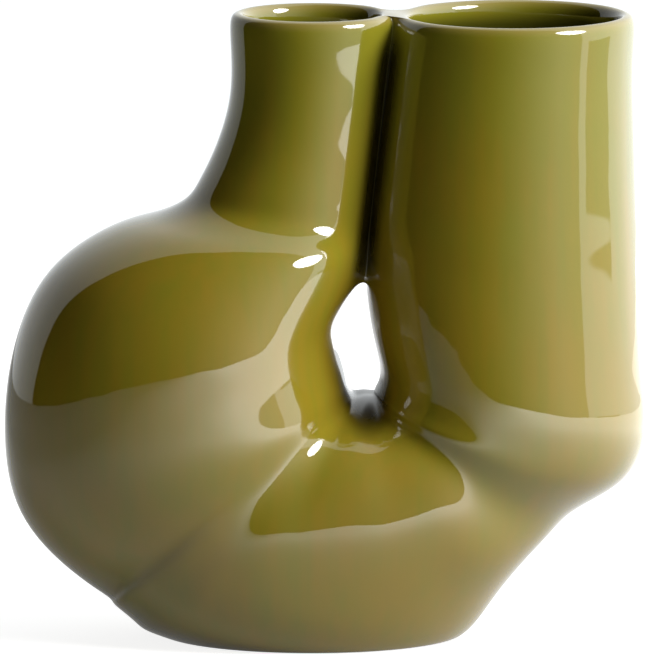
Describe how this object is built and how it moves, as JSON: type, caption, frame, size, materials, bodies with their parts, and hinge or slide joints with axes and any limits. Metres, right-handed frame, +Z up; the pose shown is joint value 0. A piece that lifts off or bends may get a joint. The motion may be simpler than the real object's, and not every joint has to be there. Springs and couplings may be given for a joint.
{
  "type": "two-necked vase",
  "caption": "Glossy olive glazed stoneware vase: a swollen belly with a narrow neck and a wide barrel share one base, with an opening between them.",
  "frame": {"origin": "middle of the overall width and depth, on the plane of the foot", "axes": "+X from the belly to the barrel, +Y from front to back, +Z up"},
  "size_m": [0.2012, 0.104, 0.195],
  "materials": {
    "olive_glaze": "glossy transparent olive-green glaze over pale stoneware",
    "slip_clay": "matt fired clay"
  },
  "bodies": {
    "root": {"base_bowl": "olive_glaze", "belly_limb": "olive_glaze", "narrow_neck": "olive_glaze", "barrel_limb": "olive_glaze", "groove_coils": "olive_glaze", "belly_slip_joint": "slip_clay", "barrel_slip_joint": "slip_clay", "neck_slip_joint": "slip_clay", "seam_slip_joint": "slip_clay"}
  },
  "joints": []
}
